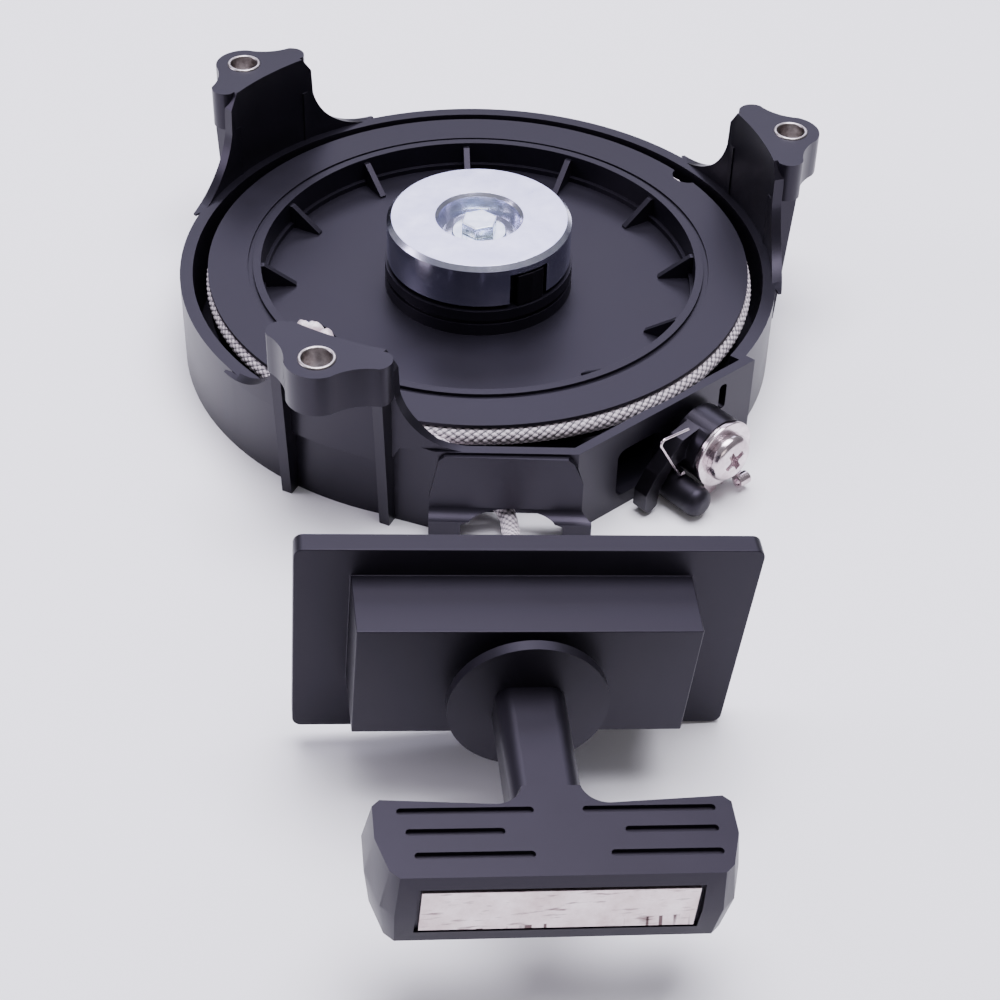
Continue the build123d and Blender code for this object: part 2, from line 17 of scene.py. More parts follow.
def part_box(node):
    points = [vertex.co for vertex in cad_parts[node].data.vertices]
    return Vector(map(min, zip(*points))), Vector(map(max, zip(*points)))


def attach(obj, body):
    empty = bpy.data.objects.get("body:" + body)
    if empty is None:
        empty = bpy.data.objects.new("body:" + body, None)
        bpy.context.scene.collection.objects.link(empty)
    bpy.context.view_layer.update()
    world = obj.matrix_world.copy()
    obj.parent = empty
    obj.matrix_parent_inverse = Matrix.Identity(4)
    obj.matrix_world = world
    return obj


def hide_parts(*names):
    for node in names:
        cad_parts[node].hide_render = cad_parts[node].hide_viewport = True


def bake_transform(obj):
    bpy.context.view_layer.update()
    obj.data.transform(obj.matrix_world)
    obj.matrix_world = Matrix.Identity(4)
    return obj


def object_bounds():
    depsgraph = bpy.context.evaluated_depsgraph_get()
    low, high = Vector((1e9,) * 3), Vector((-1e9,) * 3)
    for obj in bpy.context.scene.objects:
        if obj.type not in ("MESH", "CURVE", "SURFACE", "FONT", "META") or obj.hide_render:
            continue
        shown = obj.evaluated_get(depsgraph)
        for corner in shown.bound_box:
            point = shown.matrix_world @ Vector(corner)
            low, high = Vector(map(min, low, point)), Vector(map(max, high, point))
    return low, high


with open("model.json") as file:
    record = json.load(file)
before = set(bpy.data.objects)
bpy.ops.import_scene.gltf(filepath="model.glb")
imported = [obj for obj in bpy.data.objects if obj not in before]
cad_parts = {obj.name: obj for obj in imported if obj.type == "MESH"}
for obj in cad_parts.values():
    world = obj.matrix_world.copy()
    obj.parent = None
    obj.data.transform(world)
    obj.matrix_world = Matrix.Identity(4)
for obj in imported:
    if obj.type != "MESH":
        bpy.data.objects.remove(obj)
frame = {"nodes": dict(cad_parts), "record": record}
nodes = frame["nodes"]
size_at_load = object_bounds()
MM = 0.001
print(len(nodes), "CAD nodes loaded")

# %% [markdown]
# Paint and plastic are named by the hex values a paint chart would give, but Blender's shaders want
# linear light, in which middle grey is only about a fifth of white.  The colour picker does that
# change for one colour at a time; here one function does it for every colour in the file.

# %% From a hex colour to linear light
def linear(hex_colour):
    """sRGB hex to linear RGBA: c/12.92 below 0.04045, else ((c + 0.055)/1.055) to the power 2.4."""
    channels = np.array([int(hex_colour[i:i + 2], 16) for i in (1, 3, 5)]) / 255
    low, high = channels / 12.92, ((channels + 0.055) / 1.055) ** 2.4
    return (*np.where(channels < 0.04045, low, high).tolist(), 1.0)


print("middle grey in linear light:", round(linear("#808080")[0], 3))

# %% [markdown]
# A finish is a small network of nodes.  Each node could be made in its own block of lines, but a
# finish would then run over a page.  One function adds any node: it takes the node's properties, what
# goes into its sockets and, for a colour ramp, its two stops.  Another function starts a finish with
# what all of them need, a shader and the Object coordinates, which stay with a piece as it moves.

# %% Adding a node, and starting a finish
def add_node(material, kind, inputs=None, stops=(), **settings):
    """Adds one node: settings are its properties, inputs are socket values or other nodes' outputs,
    and stops are a colour ramp's pairs of position and hex colour."""
    tree = material.node_tree
    node = tree.nodes.new(kind)
    for name, value in settings.items():
        setattr(node, name, value)
    for name, value in (inputs or {}).items():
        socket = node.inputs[name]
        if isinstance(value, bpy.types.NodeSocket):
            tree.links.new(value, socket)
        else:
            socket.default_value = value
    for number, (position, hex_colour) in enumerate(stops):
        element = node.color_ramp.elements[number]
        element.position, element.color = position, linear(hex_colour)
    return node


def finish_of(name, roughness, metallic=0.0, **fixed):
    """A new material: its Principled shader, and the Object coordinates that its patterns read."""
    material = bpy.data.materials.new(name)
    material.use_nodes = True
    shader = material.node_tree.nodes["Principled BSDF"]
    shader.inputs["Roughness"].default_value = roughness
    shader.inputs["Metallic"].default_value = metallic
    for socket, value in fixed.items():
        shader.inputs[socket.replace("_", " ")].default_value = value
    place = add_node(material, "ShaderNodeTexCoord").outputs["Object"]
    return material, shader, place


print("helpers ready")

# %% [markdown]
# The case, the drum and the handle are black glass-filled nylon, moulded in a spark-eroded tool.  The
# eye reads it as a dark violet grey with a broad soft shine, a faint cloudiness where the glass lies
# at the surface, and a very fine grain.  Plain black would look like a hole in the picture, so noise
# a few centimetres wide gives the cloud and noise of half a millimetre the grain; the true grain is
# finer, and is drawn as coarse as it needs to show.  The seal and the knob are rubber, a little
# duller and coarser, and the lever is acetal, a little glossier: the same function makes them.

# %% Moulded black nylon, acetal and rubber
NYLON_CLOUD_MM = 30
GRAIN_DEPTH = 0.02 * MM


def moulded_black(name, dark, light, roughness, grain_mm=0.6):
    """Colour and roughness follow a wide cloud of noise, and a bump of fine noise is the grain."""
    material, shader, place = finish_of(name, roughness, IOR=1.53, Specular_IOR_Level=0.34,
                                        Specular_Tint=linear("#e2d8f2"))
    link = material.node_tree.links.new
    cloud = add_node(material, "ShaderNodeTexNoise", {
        "Vector": place, "Scale": 1 / (NYLON_CLOUD_MM * MM), "Detail": 4.0, "Roughness": 0.6}).outputs["Fac"]
    grain = add_node(material, "ShaderNodeTexNoise", {
        "Vector": place, "Scale": 1 / (grain_mm * MM), "Detail": 2.0}).outputs["Fac"]
    colour = add_node(material, "ShaderNodeValToRGB", {"Fac": cloud}, stops=[(0.35, dark), (0.7, light)])
    sheen = add_node(material, "ShaderNodeMapRange", {
        "Value": cloud, "To Min": roughness - 0.06, "To Max": roughness + 0.08})
    bump = add_node(material, "ShaderNodeBump", {
        "Height": grain, "Distance": GRAIN_DEPTH, "Strength": 0.5})
    link(colour.outputs["Color"], shader.inputs["Base Color"])
    link(sheen.outputs["Result"], shader.inputs["Roughness"])
    link(bump.outputs["Normal"], shader.inputs["Normal"])
    return material


case_nylon = moulded_black("moulded_black_nylon", "#08070b", "#0d0c12", 0.36)
drum_nylon = moulded_black("drum_black_nylon", "#0b0a0f", "#100f16", 0.42)
grip_nylon = moulded_black("handle_black_nylon", "#0a090d", "#0f0d13", 0.40)
lever_acetal = moulded_black("lever_black_acetal", "#070608", "#0b0a0d", 0.28)
seal_rubber = moulded_black("moulded_epdm_rubber", "#08070b", "#0c0b11", 0.46, grain_mm=0.9)
knob_rubber = moulded_black("knob_black_rubber", "#09090b", "#0e0d10", 0.44)
print("six black mouldings")

# %% [markdown]
# The steel parts are plated.  Zinc is bluish and bright, with cloudy spangles and fine press marks;
# nickel is a little warmer and glossier; the collars show bare drawn steel inside.  A mirror-smooth
# metal would look like chrome, so the marks also break up its gloss.  A metal takes its colour from
# its base colour alone, so one function makes them all from two tints and a roughness.

# %% Plated and bare metals
PRESS_MARK_MM = 0.9
PRESS_MARK_DEPTH = 0.006 * MM


def plated(name, dark, light, roughness, cloud_mm):
    """Colour follows spangles of noise; finer noise, the press marks, drives roughness and bump."""
    material, shader, place = finish_of(name, roughness, metallic=1.0)
    link = material.node_tree.links.new
    cloud = add_node(material, "ShaderNodeTexNoise", {
        "Vector": place, "Scale": 1 / (cloud_mm * MM), "Detail": 5.0, "Roughness": 0.65}).outputs["Fac"]
    marks = add_node(material, "ShaderNodeTexNoise", {
        "Vector": place, "Scale": 1 / (PRESS_MARK_MM * MM), "Detail": 3.0}).outputs["Fac"]
    colour = add_node(material, "ShaderNodeValToRGB", {"Fac": cloud}, stops=[(0.32, dark), (0.68, light)])
    gloss = add_node(material, "ShaderNodeMapRange", {
        "Value": marks, "To Min": roughness - 0.05, "To Max": roughness + 0.06})
    bump = add_node(material, "ShaderNodeBump", {
        "Height": marks, "Distance": PRESS_MARK_DEPTH, "Strength": 0.25})
    link(colour.outputs["Color"], shader.inputs["Base Color"])
    link(gloss.outputs["Result"], shader.inputs["Roughness"])
    link(bump.outputs["Normal"], shader.inputs["Normal"])
    return material


zinc_plate = plated("zinc_plated_pressing", "#c9cbe2", "#e6e8f9", 0.2, 9)
zinc_bolt = plated("zinc_plated_bolt", "#c3cfd8", "#eff6fa", 0.16, 4)
nickel = plated("nickel_plated_steel", "#b9a7ad", "#efe4e8", 0.20, 5)
drawn_steel = plated("drawn_steel_collar", "#8f8683", "#d9d4d2", 0.30, 3)
spring_steel = plated("blued_spring_steel", "#3a3d46", "#6a6d78", 0.34, 6)
bronze = plated("sintered_bronze", "#6e4d2c", "#a77b4a", 0.45, 3)
wear_washer = plated("hardened_washer_steel", "#5d5a5b", "#8d8a8c", 0.38, 4)
print("seven metals")

# %% [markdown]
# The handle's front carries an aluminium strip, rolled and wiped by hand.  It is pale and slightly
# pink under warm light, cloudy, with long faint rolling lines and a row of short dark nicks along its
# lower edge.  The lines are noise stretched along the strip; the nicks are noise stretched across it,
# and a ramp on height keeps them low.  Cutting them as grooves would cost faces and show no more.

# %% Rolled aluminium
CLOUDS_PER_MM, LINES_PER_MM = 0.12, 0.9
NICK_SPACING, NICK_REACH, NICK_FADE = 1.6 * MM, 3.6 * MM, 0.8 * MM
aluminium, shader, place = finish_of("rolled_aluminium", 0.42, metallic=1.0)
link = aluminium.node_tree.links.new
cloud = add_node(aluminium, "ShaderNodeTexNoise", {
    "Vector": place, "Scale": CLOUDS_PER_MM / MM, "Detail": 5.0, "Roughness": 0.7}).outputs["Fac"]
along = add_node(aluminium, "ShaderNodeMapping", {"Vector": place, "Scale": (0.12, 1.0, 1.0)})
lines = add_node(aluminium, "ShaderNodeTexNoise", {
    "Vector": along.outputs["Vector"], "Scale": LINES_PER_MM / MM, "Detail": 4.0}).outputs["Fac"]
colour = add_node(aluminium, "ShaderNodeValToRGB", {"Fac": cloud},
                  stops=[(0.3, "#c9b6b6"), (0.66, "#eadfe0")]).outputs["Color"]
wear = add_node(aluminium, "ShaderNodeValToRGB", {"Fac": lines},
                stops=[(0.28, "#8d7f80"), (0.42, "#ffffff")]).outputs["Color"]
lined = add_node(aluminium, "ShaderNodeMix", {"Factor": 1.0, "A": colour, "B": wear},
                 data_type="RGBA", blend_type="MULTIPLY").outputs["Result"]

across = add_node(aluminium, "ShaderNodeMapping", {"Vector": place, "Scale": (1.0, 1.0, 0.05)})
ticks = add_node(aluminium, "ShaderNodeTexNoise", {
    "Vector": across.outputs["Vector"], "Scale": 1 / NICK_SPACING, "Detail": 0.0}).outputs["Fac"]
nick_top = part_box("handle_insert")[0].z + NICK_REACH
height = add_node(aluminium, "ShaderNodeSeparateXYZ", {"Vector": place}).outputs["Z"]
above = add_node(aluminium, "ShaderNodeMapRange", {
    "Value": height, "From Min": nick_top, "From Max": nick_top + NICK_FADE}).outputs["Result"]
clear = add_node(aluminium, "ShaderNodeMath", {0: ticks, 1: above}, operation="MAXIMUM").outputs["Value"]
nicks = add_node(aluminium, "ShaderNodeValToRGB", {"Fac": clear},
                 stops=[(0.33, "#6f6263"), (0.40, "#ffffff")]).outputs["Color"]
nicked = add_node(aluminium, "ShaderNodeMix", {"Factor": 1.0, "A": lined, "B": nicks},
                  data_type="RGBA", blend_type="MULTIPLY").outputs["Result"]
gloss = add_node(aluminium, "ShaderNodeMapRange", {"Value": lines, "To Min": 0.3, "To Max": 0.55})
link(nicked, shader.inputs["Base Color"])
link(gloss.outputs["Result"], shader.inputs["Roughness"])
print("the aluminium's nicks end", round(nick_top / MM, 1), "mm above the floor")

# %% [markdown]
# The rope is a tight solid braid of polyester, 5.4 mm thick, off-white with grey shade in the grooves
# between its strands.  The stitches themselves are modelled further down, and each point of the
# rope's surface carries a number, "braid", that says how high it lies in its stitch: a ramp turns it
# into shade, so the shade can't slide off the stitches.  Fine noise gives the fuzz of the fibres.

# %% Braided polyester
FUZZ_MM = 0.4
braid, shader, place = finish_of("braided_polyester", 0.62, IOR=1.57, Sheen_Weight=0.25)
link = braid.node_tree.links.new
depth = add_node(braid, "ShaderNodeAttribute", attribute_name="braid").outputs["Fac"]
fuzz = add_node(braid, "ShaderNodeTexNoise", {
    "Vector": place, "Scale": 1 / (FUZZ_MM * MM), "Detail": 2.0}).outputs["Fac"]
shade = add_node(braid, "ShaderNodeValToRGB", {"Fac": depth},
                 stops=[(0.2, "#3b3840"), (0.72, "#e9e0e4")]).outputs["Color"]
worn = add_node(braid, "ShaderNodeValToRGB", {"Fac": fuzz},
                stops=[(0.3, "#cfc6cc"), (0.6, "#ffffff")]).outputs["Color"]
mixed = add_node(braid, "ShaderNodeMix", {"Factor": 1.0, "A": shade, "B": worn},
                 data_type="RGBA", blend_type="MULTIPLY")
dull = add_node(braid, "ShaderNodeMapRange", {"Value": fuzz, "To Min": 0.5, "To Max": 0.75})
link(mixed.outputs["Result"], shader.inputs["Base Color"])
link(dull.outputs["Result"], shader.inputs["Roughness"])
print("braided polyester ready")

# %% [markdown]
# The rope's ends are knotted, and the knot in the drum is melted so that it can't come undone: the
# strands run together into glossy, slightly pink blobs, and a little light goes through them.

# %% Melted polyester
CLOTS_PER_MM = 0.26
melted, shader, place = finish_of("melted_polyester", 0.3, IOR=1.57, Subsurface_Weight=0.15)
shader.inputs["Subsurface Radius"].default_value = (2.0 * MM, 1.5 * MM, 1.2 * MM)
link = melted.node_tree.links.new
cloud = add_node(melted, "ShaderNodeTexNoise", {
    "Vector": place, "Scale": CLOTS_PER_MM / MM, "Detail": 4.0}).outputs["Fac"]
colour = add_node(melted, "ShaderNodeValToRGB", {"Fac": cloud},
                  stops=[(0.3, "#b9a4ab"), (0.62, "#f3ebee")])
gloss = add_node(melted, "ShaderNodeMapRange", {"Value": cloud, "To Min": 0.2, "To Max": 0.42})
link(colour.outputs["Color"], shader.inputs["Base Color"])
link(gloss.outputs["Result"], shader.inputs["Roughness"])
print("melted polyester ready")

# %% [markdown]
# Every CAD node that stays in view takes one of those finishes.  They could be given out one by one,
# but a list reads faster: it goes by what each part is made of.  A node that a finer piece replaces
# later is simply hidden then, and its rounded copy keeps the finish.

# %% Finishes on the CAD nodes
finishes = {
    "starter_case": case_nylon, "sheave_drum": drum_nylon, "handle_grip": grip_nylon,
    "interlock_lever": lever_acetal, "drive_pawl": lever_acetal, "cowl_seal": seal_rubber,
    "stop_knob": knob_rubber, "friction_plate": zinc_plate, "centre_bolt": zinc_bolt,
    "bolt_washer": zinc_bolt, "mount_collar_left": drawn_steel, "mount_collar_right": drawn_steel,
    "mount_collar_front": drawn_steel, "centre_post": drawn_steel, "pawl_pin": drawn_steel,
    "interlock_arm": nickel, "interlock_washer": nickel, "interlock_screw": nickel,
    "interlock_bush": bronze, "drum_bushing": bronze, "seal_bush": lever_acetal,
    "thrust_washer": wear_washer, "friction_washer": wear_washer, "recoil_spring": spring_steel,
    "friction_spring": spring_steel, "pawl_spring": spring_steel, "interlock_spring": nickel,
    "spring_cup": zinc_bolt, "handle_insert": aluminium, "handle_knot": melted, "drum_knot": melted,
    "rope_coil": braid, "rope_lead": braid, "rope_tail": braid,
}
for name, material in finishes.items():
    mesh = nodes[name].data
    mesh.materials.clear()
    mesh.materials.append(material)
print("nodes without a finish:", [name for name in nodes if name not in finishes])

# %% [markdown]
# Cast and moulded edges are never quite sharp: a radius of a few tenths of a millimetre catches the
# light as a thin bright line.  The CAD nodes have sharp edges, so each shown moulding or pressing is
# a merged copy of its node with a small rounded bevel.  Faces that lie in one plane are joined first,
# so that the bevel runs along real edges only, and normals lean to the big faces, which look flat.

# %% Rounded copies of the sharp parts
MERGE_DISTANCE, SAME_PLANE, SHARP_EDGE = 0.01 * MM, radians(0.3), radians(28)
WIDE_EDGE_MM = 0.8
behaviour = frame["record"]["behaviour"]
body_of = {node: body for body, members in behaviour["bodies"].items() for node in members}


def new_object(name, data):
    """An object for this mesh, light or camera, at the origin and in the scene."""
    thing = bpy.data.objects.new(name, data)
    bpy.context.collection.objects.link(thing)
    return thing


def round_edges(node_name, width_mm):
    """A copy of the node with each edge that turns over 28 degrees rounded by a bevel."""
    mesh = nodes[node_name].data.copy()
    mesh.name = "rounded_" + node_name
    merged = bmesh.new()
    merged.from_mesh(mesh)
    bmesh.ops.remove_doubles(merged, verts=merged.verts, dist=MERGE_DISTANCE)
    bmesh.ops.dissolve_limit(merged, angle_limit=SAME_PLANE, verts=merged.verts, edges=merged.edges)
    merged.to_mesh(mesh)
    merged.free()
    mesh.shade_smooth()
    piece = new_object("rounded_" + node_name, mesh)
    bevel = piece.modifiers.new("edge radius", "BEVEL")
    bevel.width = width_mm * MM
    bevel.segments = 3 if width_mm > WIDE_EDGE_MM else 2
    bevel.limit_method = "ANGLE"
    bevel.angle_limit = SHARP_EDGE
    flatten = piece.modifiers.new("flat faces stay flat", "WEIGHTED_NORMAL")
    flatten.weight = 100
    flatten.keep_sharp = True
    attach(piece, body_of[node_name])
    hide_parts(node_name)


edge_radii_mm = {
    "starter_case": 0.5, "sheave_drum": 0.25, "handle_grip": 1.1, "cowl_seal": 0.9,
    "interlock_lever": 0.5, "friction_plate": 0.25, "centre_bolt": 0.35, "bolt_washer": 0.2,
    "interlock_washer": 0.3, "interlock_screw": 0.25, "interlock_arm": 0.2, "drive_pawl": 0.3,
    "mount_collar_left": 0.15, "mount_collar_right": 0.15, "mount_collar_front": 0.15,
}
for node_name, width_mm in edge_radii_mm.items():
    round_edges(node_name, width_mm)
print(len(edge_radii_mm), "parts have rounded edges")

# %% [markdown]
# The rope is the same 5.4 mm braid all the way: three turns in the drum's groove, a run out
# through the case's mouth to the seal, and a straight run through the seal into the handle.  A solid
# braid shows rows of short plump stitches that lean left and right in turn.  They could be strands
# swept one by one, but those would need far more faces.  Here each stitch is a cell of a slanted grid
# wrapped round the rope, and the strand on top swells in the middle of its cell.

# %% The height of a braid's stitches
ROPE_RADIUS = 2.7 * MM
STITCH_COLUMNS, STITCH_LENGTH = 8, 2.6 * MM


def stitch_height(angle, along):
    """0 between stitches, 1 on top: with u, v = columns*angle/2pi +- along/length, one strand lies
    on top where floor(u) + floor(v) is even and the other where it is odd; its height is
    sin(pi*across)^0.7 times 0.35 + 0.65*sin(pi*forward)^0.8."""
    round_it = STITCH_COLUMNS * angle / (2 * np.pi)
    u, v = round_it + along / STITCH_LENGTH, round_it - along / STITCH_LENGTH
    even = (np.floor(u) + np.floor(v)) % 2 == 0
    across, forward_part = np.where(even, v % 1, u % 1), np.where(even, u % 1, v % 1)
    swell = 0.35 + 0.65 * np.sin(np.pi * forward_part) ** 0.8
    return np.sin(np.pi * across) ** 0.7 * swell


print("a stitch is", round(STITCH_LENGTH / MM, 1), "mm long, with", STITCH_COLUMNS, "round the rope")

# %% [markdown]
# Rope, knot and every other round piece below are the same kind of mesh: a grid of points, one row
# for each ring.  One function joins any such grid into quads and shuts it, either end to end, as on
# a closed turn, or with a face at each end.

# %% From a grid of points to a mesh
def grid_mesh(name, points, wrap_rows=False):
    """Joins a grid of points (rows, columns, 3) into quads; columns close, rows close if told to,
    and otherwise each end is shut with one face."""
    rows, columns = points.shape[:2]
    index = np.arange(rows * columns).reshape(rows, columns)
    lower = index if wrap_rows else index[:-1]
    upper = np.roll(index, -1, axis=0) if wrap_rows else index[1:]
    quads = np.stack([lower, np.roll(lower, -1, axis=1), np.roll(upper, -1, axis=1), upper], axis=-1)
    faces = quads.reshape(-1, 4).tolist()
    if not wrap_rows:
        faces += [index[0, ::-1].tolist(), index[-1].tolist()]
    mesh = bpy.data.meshes.new(name)
    mesh.from_pydata(points.reshape(-1, 3).tolist(), [], faces)
    mesh.shade_smooth()
    return new_object(name, mesh)


print("grid helper ready")

# %% [markdown]
# A path is known by a few corners, and a rope bends through them softly.  A curve object with a round
# bevel would do that, but it gives no say over each point's radius, and the stitches need that.  So
# the corners are rounded and stepped evenly here, and rings are set square to the path.  The stitches'
# height moves each point out, and is kept as the "braid" number that the finish reads.

# %% A braid carried along a path
CORNER_CUT, CURVE_POINTS = 0.45, 25
STITCH_DEPTH = 0.14


def even_steps(corners, step):
    """A smooth path past the corners: each corner is a quadratic Bezier curve between the points
    0.45 of the shorter run before and after it, then the whole is stepped evenly."""
    corners = np.asarray(corners, float)
    before, at, after = corners[:-2], corners[1:-1], corners[2:]
    into, out_of = at - before, after - at
    into_length = np.linalg.norm(into, axis=1)[:, None]
    out_length = np.linalg.norm(out_of, axis=1)[:, None]
    reach = CORNER_CUT * np.minimum(into_length, out_length)
    first = at - reach * into / into_length
    last = at + reach * out_of / out_length
    t = np.linspace(0, 1, CURVE_POINTS)[None, :, None]
    curves = (1 - t) ** 2 * first[:, None] + 2 * t * (1 - t) * at[:, None] + t ** 2 * last[:, None]
    path = np.vstack([corners[:1], curves.reshape(-1, 3), corners[-1:]])
    run = np.concatenate([[0], np.cumsum(np.linalg.norm(np.diff(path, axis=0), axis=1))])
    even = np.linspace(0, run[-1], int(run[-1] / step) + 1)
    return np.stack([np.interp(even, run, path[:, axis]) for axis in range(3)], axis=1), even


def rope_piece(name, path, along, side, around=48, wrap=False):
    """Rings of radius R*(0.86 + 0.14*stitch) about the path; `side` fixes how each ring is turned."""
    tangent = np.gradient(path, axis=0)
    if wrap:
        tangent = np.roll(path, -1, axis=0) - np.roll(path, 1, axis=0)
    tangent /= np.linalg.norm(tangent, axis=1)[:, None]
    across = np.cross(tangent, side)
    across /= np.linalg.norm(across, axis=1)[:, None]
    over = np.cross(across, tangent)
    angle = np.linspace(0, 2 * np.pi, around, endpoint=False)[None, :]
    height = stitch_height(angle, along[:, None])
    radius = (ROPE_RADIUS * (1 - STITCH_DEPTH + STITCH_DEPTH * height))[..., None]
    ring = np.cos(angle)[..., None] * across[:, None] + np.sin(angle)[..., None] * over[:, None]
    piece = grid_mesh(name, path[:, None] + radius * ring, wrap_rows=wrap)
    shade = piece.data.attributes.new("braid", "FLOAT", "POINT")
    shade.data.foreach_set("value", height.ravel())
    piece.data.materials.append(braid)
    print(name, "is", round(float(along[-1]) / MM), "mm long with", len(piece.data.polygons), "faces")
    return piece


print("rope helper ready")

# %% [markdown]
# The turns in the groove are three closed rings, one against the next.  On the real drum they are
# one spiral, but with closed rings no loose end comes round when the drum turns, and the rope's way
# out meets the outer ring as a tangent.  The outer ring is set a little off centre, towards the way
# out, as the last turn of a spiral is: it shows under the rim there and tucks in at the back.  It is
# the one in view, so it has the finer grid.

# %% The turns on the drum
FINE_GRID, COARSE_GRID = (6, 48), (3, 24)          # rings to a stitch, points to a ring
STITCH_OVERLAP = 0.3 * MM                          # the stitches stand this far out of the plain coil
SPIRAL_OFFSET, SPIRAL_AZIMUTH = 1.3 * MM, radians(-75)
coil_low, coil_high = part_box("rope_coil")
rope_level = (coil_low.z + coil_high.z) / 2
outer_turn = coil_high.x - ROPE_RADIUS + STITCH_OVERLAP
for turn, (per_stitch, around) in enumerate([FINE_GRID, COARSE_GRID, COARSE_GRID]):
    radius = outer_turn - 2 * turn * ROPE_RADIUS
    stitches = round(2 * np.pi * radius / STITCH_LENGTH)
    steps = stitches * per_stitch
    azimuth = np.arange(steps) * 2 * np.pi / steps
    inset = SPIRAL_OFFSET if turn == 0 else 0.0
    ring = np.stack([(radius - inset) * np.cos(azimuth) + inset * cos(SPIRAL_AZIMUTH),
                     (radius - inset) * np.sin(azimuth) + inset * sin(SPIRAL_AZIMUTH),
                     np.full(steps, rope_level)], axis=1)
    piece = rope_piece(f"wound_rope_{turn}", ring, azimuth / (2 * np.pi) * stitches * STITCH_LENGTH,
                       (0, 0, 1), around, wrap=True)
    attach(piece, "drum")
    if turn == 0:
        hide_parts("rope_coil")

# %% [markdown]
# The run out leaves the outer turn as a tangent, dips behind the front panel, comes out of the mouth
# near the floor and rises to the seal's hole.  Its corners are the CAD rope's own.  When the seal is
# pushed towards the case this run is what shortens, and a piece that rode one of them would tear off
# the other, so here it is one fixed piece that rides neither.

# %% The run from the drum to the seal
STEPS_PER_STITCH = 6
SEAL_ENTRY, SEAL_END = 26 * MM, 4 * MM             # before and past the seal's middle
pull_yaw = radians(7.1)
pull_origin = np.array([13.9, -176.8, 38.6]) * MM
pull_axis = np.array([np.sin(pull_yaw), -np.cos(pull_yaw), 0])
leaves_drum, starts_free = radians(-122), radians(-116.3)
way_out = [(outer_turn * cos(azimuth), outer_turn * sin(azimuth), rope_level)
           for azimuth in (leaves_drum, starts_free)]
way_out += [tuple(np.array(corner) * MM) for corner in
            [(-8.9, -89.2, 25.8), (-3.2, -90.2, 20.8), (4.4, -89.6, 10.2), (11.2, -93.2, 4.7),
             (12.6, -103.0, 4.4), (12.6, -118.0, 10.2), (12.4, -136.0, 23.4)]]
way_out += [tuple(pull_origin - SEAL_ENTRY * pull_axis), tuple(pull_origin + SEAL_END * pull_axis)]
path, along = even_steps(way_out, STITCH_LENGTH / STEPS_PER_STITCH)
run_out = rope_piece("rope_run_out", path, along, (0.7, 0.7, 0.0))
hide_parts("rope_lead")
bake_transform(run_out)

# %% [markdown]
# The straight run is hidden in the seal and the handle until the handle is pulled, and then all of
# the drum's rope comes out here.  Modelled stitches would be drawn out into long threads, so this
# piece is a plain tube, and its stitches are a pattern of cells, which a bump raises and whose rims
# are greyed with painted shade, the shade of the grooves between stitches.  Its rings are
# packed close in the stretch that is drawn out, so that the long tube stays round and even.

# %% The finish of the pulled rope
CELL_MM, CELL_DEPTH = 2.2, 0.4 * MM
pulled, shader, place = finish_of("pulled_polyester", 0.62, IOR=1.57, Sheen_Weight=0.25)
link = pulled.node_tree.links.new
stitches = add_node(pulled, "ShaderNodeTexVoronoi", {
    "Vector": place, "Scale": 1 / (CELL_MM * MM), "Randomness": 0.35}).outputs["Distance"]
# painted shade: each cell is off-white in its middle and grey towards its rim, where the groove between
# stitches lies
colour = add_node(pulled, "ShaderNodeValToRGB", {"Fac": stitches},
                  stops=[(0.25, "#efe6ea"), (0.75, "#4a464f")])
bump = add_node(pulled, "ShaderNodeBump", {"Height": stitches, "Distance": CELL_DEPTH, "Strength": 1.0},
                invert=True)
link(colour.outputs["Color"], shader.inputs["Base Color"])
link(bump.outputs["Normal"], shader.inputs["Normal"])
print("pulled polyester ready")

# %% The run through the seal and the handle
TUBE_POINTS, TUBE_RADIUS = 32, 0.96 * ROPE_RADIUS
in_seal, drawn_out, in_handle = np.linspace(3, 4, 3), np.linspace(4.05, 18, 280), np.linspace(19, 76, 60)
distance = np.concatenate([in_seal, drawn_out, in_handle]) * MM
centre_line = pull_origin + distance[:, None] * pull_axis
upward = np.array([0.0, 0.0, 1.0])
sideways = np.cross(pull_axis, upward)
angle = np.linspace(0, 2 * np.pi, TUBE_POINTS, endpoint=False)[:, None]
circle = TUBE_RADIUS * (np.cos(angle) * sideways - np.sin(angle) * upward)
tail = grid_mesh("rope_through_handle", centre_line[:, None] + circle[None])
tail.data.materials.append(pulled)
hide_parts("rope_tail")
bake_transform(tail)
print("straight run has", len(tail.data.polygons), "faces")

# %% [markdown]
# The knot in the drum was melted after it was tied: a row of rounded, slightly lumpy blobs that run
# into each other.  They could be sculpted, but a ball whose radius swells and sinks by a few waves in
# both angles is as lumpy as it needs to be, and a seed turns each one differently.

# %% The melted knot in the drum
BLOB_COLUMNS, BLOB_ROWS, POLE_GAP = 40, 28, 0.02
BLOB_RISE = 0.6 * MM                               # the blobs stand this far above the CAD's knot


def melted_blob(middle, radius, seed):
    """Radius*(1 + 0.10 sin(3a + s) sin(2b + 2s) sin b + 0.06 sin(5a + 2s) sin(3b) sin b) from the
    middle, in direction (a, b)."""
    a = np.linspace(0, 2 * np.pi, BLOB_COLUMNS, endpoint=False)[None, :]
    b = np.linspace(POLE_GAP, np.pi - POLE_GAP, BLOB_ROWS)[:, None]
    waves = 1 + 0.10 * np.sin(3 * a + seed) * np.sin(2 * b + 2 * seed) * np.sin(b)
    waves = waves + 0.06 * np.sin(5 * a + 2 * seed) * np.sin(3 * b) * np.sin(b)
    direction = np.stack([np.sin(b) * np.cos(a), np.sin(b) * np.sin(a), 0 * a - np.cos(b)], axis=-1)
    return middle + radius * waves[..., None] * direction


knot_low, knot_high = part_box("drum_knot")
knot_middle = (knot_low + knot_high) / 2
knot_azimuth = atan2(knot_middle.y, knot_middle.x)
along_row = np.array([-sin(knot_azimuth), cos(knot_azimuth), 0])
outward = np.array([cos(knot_azimuth), sin(knot_azimuth), 0])
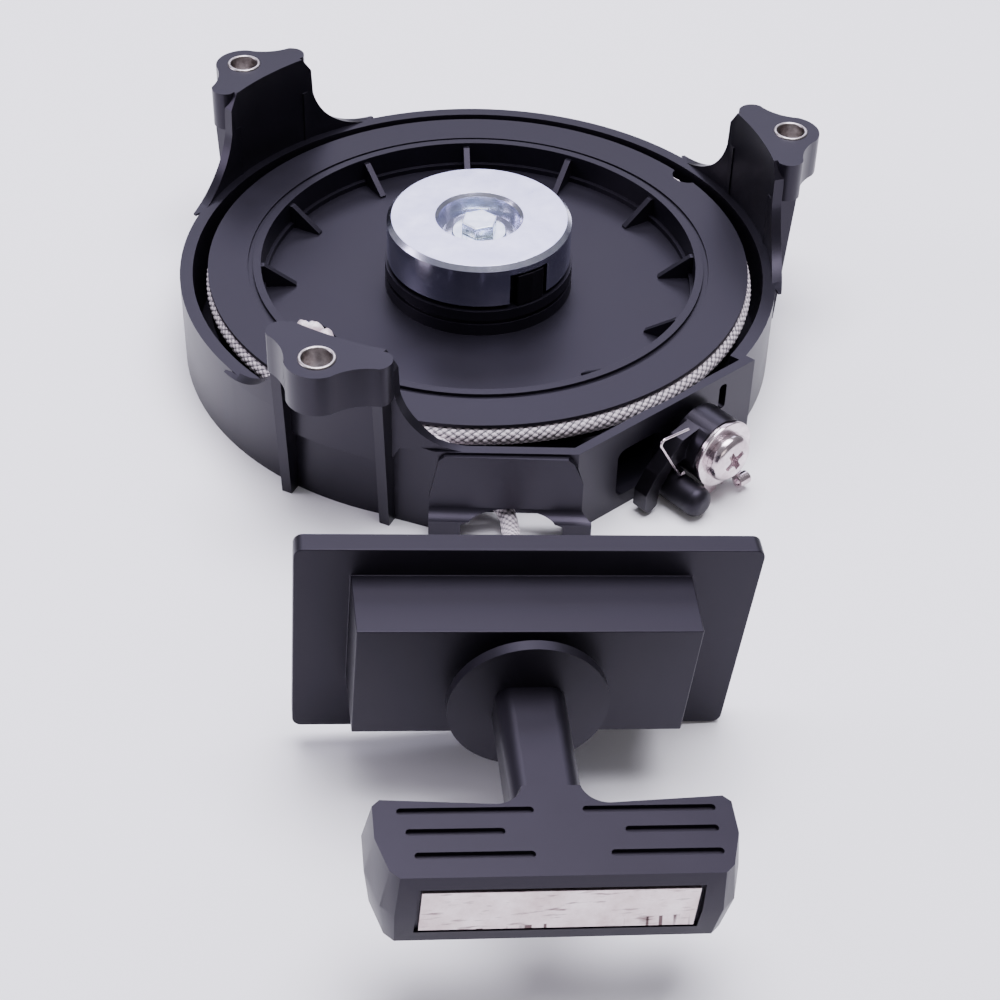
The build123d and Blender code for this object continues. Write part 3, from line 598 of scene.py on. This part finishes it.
# each blob's place along the row and outward and its radius, in millimetres, and its seed
blobs = [(-7.0, 0.8, 2.3, 1.3), (-4.4, -1.4, 2.9, 2.0), (-0.4, 1.2, 3.3, 3.1), (0.8, -2.6, 2.4, 0.4),
         (3.6, -0.4, 3.2, 4.4), (6.8, 1.0, 2.4, 5.2)]
for number, (row, out, radius, seed) in enumerate(blobs):
    blob_middle = np.array(knot_middle) + (row * along_row + out * outward) * MM
    blob_middle[2] = knot_high.z - radius * MM + BLOB_RISE
    blob = grid_mesh(f"melted_blob_{number}", melted_blob(blob_middle, radius * MM, seed))
    blob.data.materials.append(melted)
    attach(blob, "drum")
    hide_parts("drum_knot")
print(len(blobs), "blobs in the knot")

# %% [markdown]
# The stage is a plain pale floor under the part, as a sheet of matt paper in a studio.  A curved
# backdrop isn't needed, because the part is seen from well above and the floor fills the view.

# %% The floor
FLOOR_HALF, PAPER_CLOUDS_PER_M = 4.0, 3.0
floor_level = size_at_load[0][2]
floor_mesh = bpy.data.meshes.new("studio_floor")
floor_mesh.from_pydata([(x * FLOOR_HALF, y * FLOOR_HALF, floor_level)
                        for x, y in ((-1, -1), (1, -1), (1, 1), (-1, 1))], [], [(0, 1, 2, 3)])
floor = new_object("studio_floor", floor_mesh)
paper, shader, place = finish_of("matt_white_paper", 0.9)
tone = add_node(paper, "ShaderNodeTexNoise", {"Vector": place, "Scale": PAPER_CLOUDS_PER_M}).outputs["Fac"]
colour = add_node(paper, "ShaderNodeValToRGB", {"Fac": tone}, stops=[(0.0, "#f6f6f7"), (1.0, "#fcfcfd")])
paper.node_tree.links.new(colour.outputs["Color"], shader.inputs["Base Color"])
floor_mesh.materials.append(paper)
print("the floor is at", round(floor_level, 5), "m")

# %% [markdown]
# Black plastic shows its shape by what it reflects, so the lights are large and soft: a big box
# overhead, a long one behind, a taller one at the left that draws the bright edges of the legs and
# the case, and a weak fill from the front.  A sun or a small lamp would leave hard shadows instead.

# %% The lights
def soft_box(name, place, aim, size, power, tint):
    """A rectangular area light at `place`, turned to face `aim`; power in watts."""
    light = bpy.data.lights.new(name, "AREA")
    light.shape = "RECTANGLE"
    light.size, light.size_y = size
    light.energy = power
    light.color = linear(tint)[:3]
    holder = new_object(name, light)
    holder.location = place
    holder.rotation_euler = (Vector(aim) - Vector(place)).to_track_quat("-Z", "Y").to_euler()


part_middle = (0.0, -0.06, 0.02)
soft_box("overhead_box", (0.1, 0.1, 1.5), part_middle, (1.3, 1.0), 60, "#f4f1ff")
soft_box("back_box", (0.0, 1.15, 0.95), part_middle, (1.5, 0.5), 9, "#e6e2ff")
soft_box("left_box", (-1.1, -0.1, 0.45), part_middle, (0.5, 0.6), 7, "#f0e6ff")
soft_box("front_fill", (0.5, -1.4, 0.7), part_middle, (0.7, 0.5), 2, "#fff2f2")
world = bpy.data.worlds.new("pale_room")
world.use_nodes = True
backdrop = world.node_tree.nodes["Background"]
backdrop.inputs["Color"].default_value = linear("#eeedf6")
backdrop.inputs["Strength"].default_value = 0.32
bpy.context.scene.world = world
print("four soft boxes in a pale room")

# %% [markdown]
# The camera looks down at the part from the front, banked by less than two degrees.  It could be
# turned to track a target, but its place and angles are known, so its three axes are worked out and
# put straight into its matrix.

# %% The camera
SENSOR_WIDTH_MM, FOCAL_LENGTH_MM, NEAREST = 36.0, 75.6, 10 * MM
camera_place = Vector((9.005, -553.5, 404.67)) * MM
look_down, bank = radians(40.665), radians(-1.6697)
forward = Vector((0, cos(look_down), -sin(look_down)))
level_right = Vector((1, 0, 0))
level_up = level_right.cross(forward)
right = level_right * cos(bank) - level_up * sin(bank)
up = right.cross(forward)
lens = bpy.data.cameras.new("camera")
lens.sensor_width = SENSOR_WIDTH_MM
lens.lens = FOCAL_LENGTH_MM
lens.clip_start = NEAREST
camera = new_object("camera", lens)
facing = Matrix((right, up, -forward)).transposed()
camera.matrix_world = Matrix.Translation(camera_place) @ facing.to_4x4()
bpy.context.scene.camera = camera
print("camera at", [round(value, 3) for value in camera_place])
